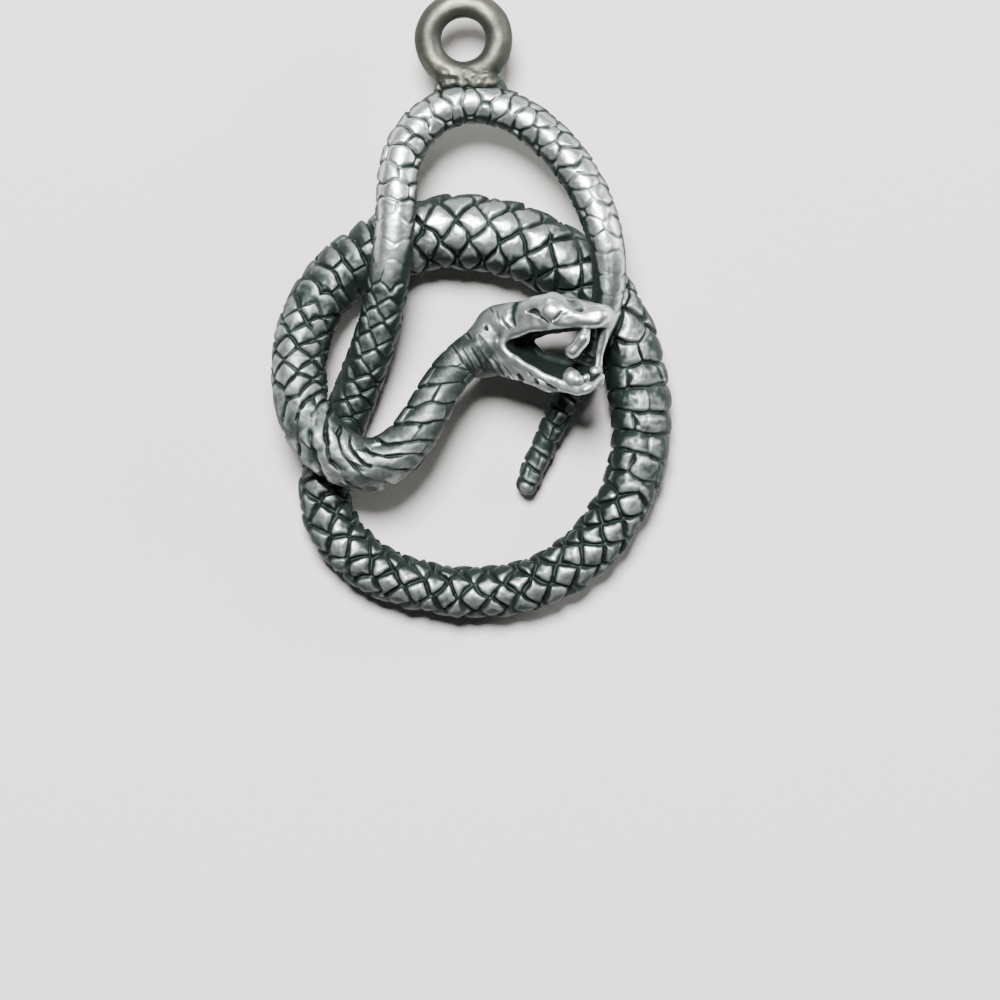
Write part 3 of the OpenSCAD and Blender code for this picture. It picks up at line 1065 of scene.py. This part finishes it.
def size_of(name, description, millimetres):
    """A size that is given in millimetres and kept in metres."""
    return FloatProperty(
        name=name, description=description, default=millimetres * MM, unit="LENGTH", precision=6
    )


def colour_of(name, description, default):
    return FloatVectorProperty(
        name=name, description=description, default=default, subtype="COLOR", size=3, min=0, max=1
    )


class PendantBody(bpy.types.PropertyGroup):
    spacing: size_of("Spacing", "Distance between the points of the skin", 0.047)
    groove_width: share_of("Groove width", "Width of the grooves as a share of the thickness", 0.10)
    groove_depth: share_of("Groove depth", "Depth of the grooves as a share of the radius", 0.12)
    crown: share_of("Crown", "Fall of a scale from its middle to its edge, as a share", 0.05)
    overlap: share_of("Overlap", "Rise of a scale towards the tail, as a share", 0.05)
    tilt: share_of("Tilt", "How far single scales are tilted, as a share", 0.27)
    unevenness: share_of("Unevenness", "How far scales differ in height, as a share", 0.02)
    wander: size_of("Wander", "How far the lines stray", 0.45)
    missing_cuts: share_of("Missing cuts", "How freely cuts between plates are left out", 1.0)


class PendantHead(bpy.types.PropertyGroup):
    turn: FloatProperty(
        name="Turn", description="Angle by which the head turns up to the front",
        default=math.radians(26), subtype="ANGLE",
    )
    eye_r: size_of("Eye radius", "Radius of an eye", 0.65)
    jaw_rim: size_of("Jaw rim", "Thickness of the lower jaw's rims", 0.36)
    fineness: size_of("Fineness", "Size of the cells that the head's skin is made in", 0.034)


class PendantRing(bpy.types.PropertyGroup):
    hole_r: size_of("Hole radius", "Radius of the hole", 0.88)
    wire: size_of("Wire", "Thickness of the ring's wire", 1.12)
    land: size_of("Land", "Length of the straight wall in the hole", 0.4)
    fineness: size_of("Fineness", "Size of the cells that the ring's skin is made in", 0.04)


class PendantSilver(bpy.types.PropertyGroup):
    bright: colour_of("Bright", "Colour of rubbed silver", (0.70, 0.765, 0.735))
    dull: colour_of("Dull", "Colour of the ring's duller silver", (0.185, 0.182, 0.150))
    # The dark colour serves both the oxide and the painted shade
    tarnish: colour_of("Tarnish", "Colour of the oxide in the grooves", (0.021, 0.033, 0.028))
    roughness: share_of("Roughness", "Roughness of rubbed silver", 0.37)
    dull_roughness: share_of("Dull roughness", "Roughness of the ring's duller silver", 0.47)
    tarnish_roughness: share_of("Tarnish roughness", "Roughness of the oxide", 0.56)
    cloudiness: share_of("Cloudiness", "How far clouds darken and lighten the silver", 0.35)
    graininess: share_of("Graininess", "How far the grain darkens and lightens the silver", 0.15)
    relief: size_of("Relief", "Height of the grain and the hammer marks", 0.03)


class PendantDarkening(bpy.types.PropertyGroup):
    cuts: share_of("Cuts", "Tarnish in cut lines", 1.7)
    hollows: share_of("Hollows", "Tarnish in the small hollows of the scales", 0.5)
    edges: share_of("Edges", "Tarnish rubbed off raised edges", 0.35)
    # Painted shade, with the patina that gathers there, where other metal covers the skin
    covered: share_of("Covered", "Tarnish where other metal covers the skin", 1.3)
    # Painted shade on the sides that face the coils' middle
    inward_shade: share_of("Inward", "Tarnish on sides that face the coils' middle", 1.1)
    # Painted shade near the table
    low: share_of("Low", "Tarnish near the table", 0.30)
    # Patina with painted shade in the head's broad hollows
    head_hollow_shade: share_of("Head's hollows", "Tarnish in the hollows of the head", 0.3)
    # Rubbed silver with a painted highlight on the head's crowns
    head_crown_highlight: share_of("Head's crowns", "Tarnish rubbed off the crowns of the head", 0.42)
    # Oxide on the neck, with painted shade down from its top
    neck: share_of("Neck", "Oxide on the neck", 0.82)
    # Painted shade under the jaw, on the far side and between the brows and the snout
    jaw: share_of("Jaw", "Oxide under the jaw", 0.45)
    far_side: share_of("Far side", "Oxide on the far side of the head", 0.20)
    saddle: share_of("Saddle", "Oxide between the brows and the snout", 0.45)
    ring: share_of("Ring", "Oxide on the ring", 0.42)
    # Rubbed silver with a painted highlight on the crowns of each piece
    worn_and_highlit_crowns: share_of("Worn crowns", "Oxide rubbed off the crowns of each piece", 0.35)
    worn_edges: share_of("Worn edges", "Oxide rubbed off the edges of scales", 0.54)


class PendantStage(bpy.types.PropertyGroup):
    floor: colour_of("Floor", "Colour of the floor", (0.80, 0.77, 0.75))
    floor_reach: size_of("Floor reach", "From the floor's middle to its edges", 600)
    floor_roughness: share_of("Floor roughness", "Roughness of the floor", 0.7)
    sky: colour_of("Sky", "Colour of the light from all around", (0.75, 0.82, 0.80))
    sky_strength: share_of("Sky strength", "Strength of the light from all around", 0.04)
    distance: size_of("Camera distance", "From the camera to the pendant's plane", 240)
    span: size_of("Span", "Width of the view at the pendant's plane", 40)


class PENDANT_OT_body(bpy.types.Operator):
    """Build the scaled body in its stretches"""

    bl_idname = "pendant.body"
    bl_label = "Body"

    def execute(self, context):
        tree = scaled_body_tree()
        for name, first, last in STRETCHES:
            mount(body_stretch(name, first, last, tree, pendant_silver()))
        return {"FINISHED"}


class PENDANT_OT_head(bpy.types.Operator):
    """Build the head with its jaws, fangs and tongue"""

    bl_idname = "pendant.head"
    bl_label = "Head"

    def execute(self, context):
        fineness = context.scene.pendant_head.fineness / MM
        form = bmesh.new()
        head_mass(form)
        mesh = mesh_of(form, "head")
        form.clear()
        coarse = fineness * COARSER
        form.from_mesh(remesh(mesh, "head", coarse, rounds=50, back=SLIGHT_STEP_OUT))
        head_details(form)
        mesh = remesh(mesh_of(form, "head"), "head", fineness, rounds=12)
        form.free()
        dent(mesh, size=0.55, height=0.05)
        inside, oxide_and_shading = painted_mouth_shade(mesh), head_oxide_and_shade(points_of(mesh))
        cut = work_lines(mesh)
        mesh.transform(head_axes())
        # The mouth's painted shade is kept with the cut lines
        write_attribute(mesh, "groove", np.maximum(cut, inside * MOUTH_SHADE))
        write_attribute(mesh, "oxide_and_shading", oxide_and_shading)
        mount(finish_mesh(mesh, "head", pendant_silver()))
        return {"FINISHED"}


class PENDANT_OT_ring(bpy.types.Operator):
    """Build the ring and the solder that holds it"""

    bl_idname = "pendant.ring"
    bl_label = "Ring"

    def execute(self, context):
        look = context.scene.pendant_ring
        form = bmesh.new()
        ring_form(form, look.hole_r / MM, look.wire / 2 / MM, look.land / 2 / MM)
        chain(form, SOLDER)
        fineness = look.fineness / MM
        mesh = remesh(mesh_of(form, "ring"), "ring", fineness, rounds=25, back=SLIGHT_STEP_OUT)
        form.free()
        dent(mesh, size=0.7, height=0.03, seed=7.0)
        across, along, _ = points_of(mesh).T
        dent(mesh, size=0.27, height=0.09, seed=3.0, share=ramp(along, *SOLDER_LUMPS))
        # Lighter where the ring is rubbed, with a painted highlight there
        kept = np.ones(len(along))
        for x, y, radius in WORN_AND_HIGHLIT:
            away = np.hypot(across - x, along - y)
            kept = np.minimum(kept, ramp(away, radius, radius + RUBBED_EDGE))
        write_attribute(mesh, "oxide_and_shading", kept * context.scene.pendant_tarnish.ring)
        mount(finish_mesh(mesh, "ring", ring_silver()))
        return {"FINISHED"}


def hollowness(mesh, rounds):
    """How far each point lies below its neighbours' average, in millimetres."""
    links = neighbours(mesh)
    co = points_of(mesh) / MM
    eased = co
    for _ in range(rounds):
        eased = average(eased, links)
    return np.einsum("ij,ij->i", eased - co, normals_of(mesh))


def all_skins(pieces):
    """A tree of all the pieces' triangles, to cast rays at."""
    places, faces, start = [], [], 0
    for piece in pieces:
        mesh = piece.data
        mesh.calc_loop_triangles()
        corners = np.empty(len(mesh.loop_triangles) * 3, dtype=np.int32)
        mesh.loop_triangles.foreach_get("vertices", corners)
        places.append(points_of(mesh) / MM)
        faces.append(corners.reshape(-1, 3) + start)
        start += len(mesh.vertices)
    return BVHTree.FromPolygons(
        np.vstack(places).tolist(), np.vstack(faces).tolist(), all_triangles=True
    )


def open_share_at(skins, place, normal, rays, reach):
    """The share of rays over one point that meet no metal, spread evenly on a half ball."""
    up = Vector(normal)
    side = up.orthogonal().normalized()
    other = up.cross(side)
    start = Vector(place) + up * RAY_START
    golden = math.pi * (3 - math.sqrt(5))
    clear = 0
    for r in range(rays):
        rise = math.sqrt((r + 0.5) / rays)
        flat = math.sqrt(1 - rise * rise)
        turn = golden * r
        way = up * rise + (side * math.cos(turn) + other * math.sin(turn)) * flat
        if skins.ray_cast(start, way, reach)[0] is None:
            clear += 1
    return clear / rays


def openness(piece, skins, every=14, rays=20, reach=6.0):
    """The share of the half ball over each point that no metal covers. It is found at every few
    points and blended between the nearest of them."""
    co, normals = points_of(piece.data) / MM, normals_of(piece.data)
    found = []
    marks = KDTree(len(range(0, len(co), every)))
    for k, i in enumerate(range(0, len(co), every)):
        found.append(open_share_at(skins, co[i], normals[i], rays, reach))
        marks.insert(co[i], k)
    marks.balance()
    values = np.empty(len(co))
    for i, place in enumerate(co):
        near = [(1 / (away + 0.01), found[k]) for _, k, away in marks.find_n(place, 4)]
        values[i] = sum(weight * value for weight, value in near) / sum(w for w, _ in near)
    return values


def darkness(piece, open_share):
    """How dark each point is by its shape and place alone: tarnish in grooves and hollows, painted
    shade in the head's mouth, and painted shade, with patina, under other metal, on the sides, near
    the table and on the sides that face the coils' middle. On the head, hollows get patina with
    painted shade and crowns a painted highlight. Raised edges go below 0."""
    look = bpy.context.scene.pendant_tarnish
    mesh = piece.data
    normals, places = normals_of(mesh), points_of(mesh) / MM
    facing = normals[:, 2]
    # How low each point lies, for the painted shade near the table
    low = ramp(places[:, 2], *LOW_SHADE) ** LOW_CURVE
    fine = hollowness(mesh, FINE_ROUNDS)
    dark = read_attribute(mesh, "groove") * look.cuts + PIECE_DARK.get(piece.name, 0)
    dark += ramp(fine, 0, SCALE_RELIEF) * look.hollows - ramp(fine, 0, -SCALE_RELIEF) * look.edges
    # Painted shade, with patina, where other metal covers the half ball over the skin
    dark += np.maximum(OPEN_SKY - open_share, 0) * look.covered
    # Painted shade on the sides that turn away from the front, less where they lie high
    side_shade = np.maximum(TO_FRONT - abs(facing), 0) * (HIGH_SIDES + (1 - HIGH_SIDES) * low)
    dark += side_shade * SIDE_SHADE.get(piece.name, OTHER_SIDE_SHADE)
    # Painted shade on front-facing skin near the table
    dark += low * look.low * (facing > 0)
    # Painted shade on the sides that face the coils' middle, on the front coil only at its left
    if piece.name not in ("head", "ring"):
        way = np.array(COIL_MIDDLE) - places[:, :2]
        inward_shade = np.einsum("ij,ij->i", way, normals[:, :2]) / np.linalg.norm(way, axis=1)
        inward_shade = np.maximum(inward_shade - TO_MIDDLE, 0) * look.inward_shade
        dark += inward_shade * (ramp(places[:, 0], *LEFT_LIMB) if piece.name == "front_coil" else 1)
    # On the head: patina with painted shade in broad hollows, and a painted highlight on crowns
    if piece.name == "head":
        hollow = hollowness(mesh, BROAD_ROUNDS)
        dark += ramp(hollow, *HOLLOWS) * look.head_hollow_shade
        dark -= ramp(hollow, *CROWNS) * look.head_crown_highlight
    return dark


def tarnish(piece, open_share):
    """0 where the silver is bright, rubbed or lit by a painted highlight, and 1 where oxide or
    painted shade covers it, for each point.
    """
    look = bpy.context.scene.pendant_tarnish
    mesh = piece.data
    links = neighbours(mesh)
    dark = np.clip(darkness(piece, open_share), *DARK_RANGE)[:, None]
    dark = np.clip(average(average(dark, links), links)[:, 0], 0, 1)
    # The oxide with its painted shade, and below 0 a painted highlight
    oxide_and_shading = np.clip(read_attribute(mesh, "oxide_and_shading"), LEAST_OXIDE, 1)
    # Lighter on the crowns: rubbed silver and a painted highlight
    oxide_and_shading *= 1 - ramp(hollowness(mesh, BROAD_ROUNDS), *CROWNS) * look.worn_and_highlit_crowns
    if piece.name != "front_coil":
        edges = ramp(hollowness(mesh, FINE_ROUNDS), *SCALE_EDGES)[:, None]
        oxide_and_shading *= 1 - average(edges, links)[:, 0] * look.worn_edges * (normals_of(mesh)[:, 2] > 0)
    return np.clip(dark + (1 - dark) * oxide_and_shading, 0, 1)


class PENDANT_OT_tarnish(bpy.types.Operator):
    """Find where the silver is bright and where oxide or painted shade makes it dark"""

    bl_idname = "pendant.tarnish"
    bl_label = "Tarnish"

    def execute(self, context):
        names = [stretch[0] for stretch in STRETCHES] + ["head", "ring"]
        pieces = [bpy.data.objects[name] for name in names]
        skins = all_skins(pieces)
        for piece in pieces:
            write_attribute(piece.data, "tarnish", tarnish(piece, openness(piece, skins)))
        return {"FINISHED"}


class PENDANT_OT_stage(bpy.types.Operator):
    """Add the floor, the lights and the camera"""

    bl_idname = "pendant.stage"
    bl_label = "Stage"

    def execute(self, context):
        look = context.scene.pendant_stage
        form = bmesh.new()
        bmesh.ops.create_grid(form, x_segments=1, y_segments=1, size=look.floor_reach)
        floor = new_object("floor", mesh_of(form, "floor"))
        form.free()
        material = bpy.data.materials.new("floor")
        material.use_nodes = True
        shader = material.node_tree.nodes["Principled BSDF"]
        shader.inputs["Base Color"].default_value = (*look.floor, 1)
        shader.inputs["Roughness"].default_value = look.floor_roughness
        floor.data.materials.append(material)

        for name, place, size, watts in LIGHTS:
            light = bpy.data.lights.new(name, "AREA")
            light.shape = "DISK"
            light.size = size
            light.energy = watts
            lamp = new_object(name, light)
            lamp.location = place
            lamp.rotation_mode = "QUATERNION"
            lamp.rotation_quaternion = Vector(place).to_track_quat("Z", "Y")

        world = bpy.data.worlds.new("studio")
        world.use_nodes = True
        back = world.node_tree.nodes["Background"]
        back.inputs["Color"].default_value = (*look.sky, 1)
        back.inputs["Strength"].default_value = look.sky_strength
        context.scene.world = world

        camera = bpy.data.cameras.new("camera")
        camera.lens = camera.sensor_width * look.distance / look.span
        camera.clip_start = 0.001
        viewer = new_object("camera", camera)
        viewer.location = Vector(VIEW_AT) * MM + Vector((0, 0, look.distance))
        context.scene.camera = viewer
        return {"FINISHED"}


class PENDANT_PT_panel(bpy.types.Panel):
    """Lists the pendant's sizes and builders"""

    bl_label = "Snake pendant"
    bl_idname = "PENDANT_PT_panel"
    bl_space_type = "VIEW_3D"
    bl_region_type = "UI"
    bl_category = "Pendant"

    def draw(self, context):
        for group, holder in GROUPS.items():
            box = self.layout.box()
            for name in group.__annotations__:
                box.prop(getattr(context.scene, holder), name)
        for operator in OPERATORS:
            self.layout.operator(operator.bl_idname)


GROUPS = {
    PendantBody: "pendant_body",
    PendantHead: "pendant_head",
    PendantRing: "pendant_ring",
    PendantSilver: "pendant_silver",
    PendantDarkening: "pendant_tarnish",
    PendantStage: "pendant_stage",
}
OPERATORS = (
    PENDANT_OT_stage, PENDANT_OT_body, PENDANT_OT_head, PENDANT_OT_ring, PENDANT_OT_tarnish,
)


def register():
    for group, name in GROUPS.items():
        bpy.utils.register_class(group)
        setattr(bpy.types.Scene, name, PointerProperty(type=group))
    for operator in OPERATORS:
        bpy.utils.register_class(operator)
    bpy.utils.register_class(PENDANT_PT_panel)


def unregister():
    bpy.utils.unregister_class(PENDANT_PT_panel)
    for operator in reversed(OPERATORS):
        bpy.utils.unregister_class(operator)
    for group, name in GROUPS.items():
        delattr(bpy.types.Scene, name)
        bpy.utils.unregister_class(group)


def main():
    register()
    bpy.ops.pendant.stage()
    bpy.ops.pendant.body()
    bpy.ops.pendant.head()
    bpy.ops.pendant.ring()
    bpy.ops.pendant.tarnish()


if __name__ == "__main__":
    main()
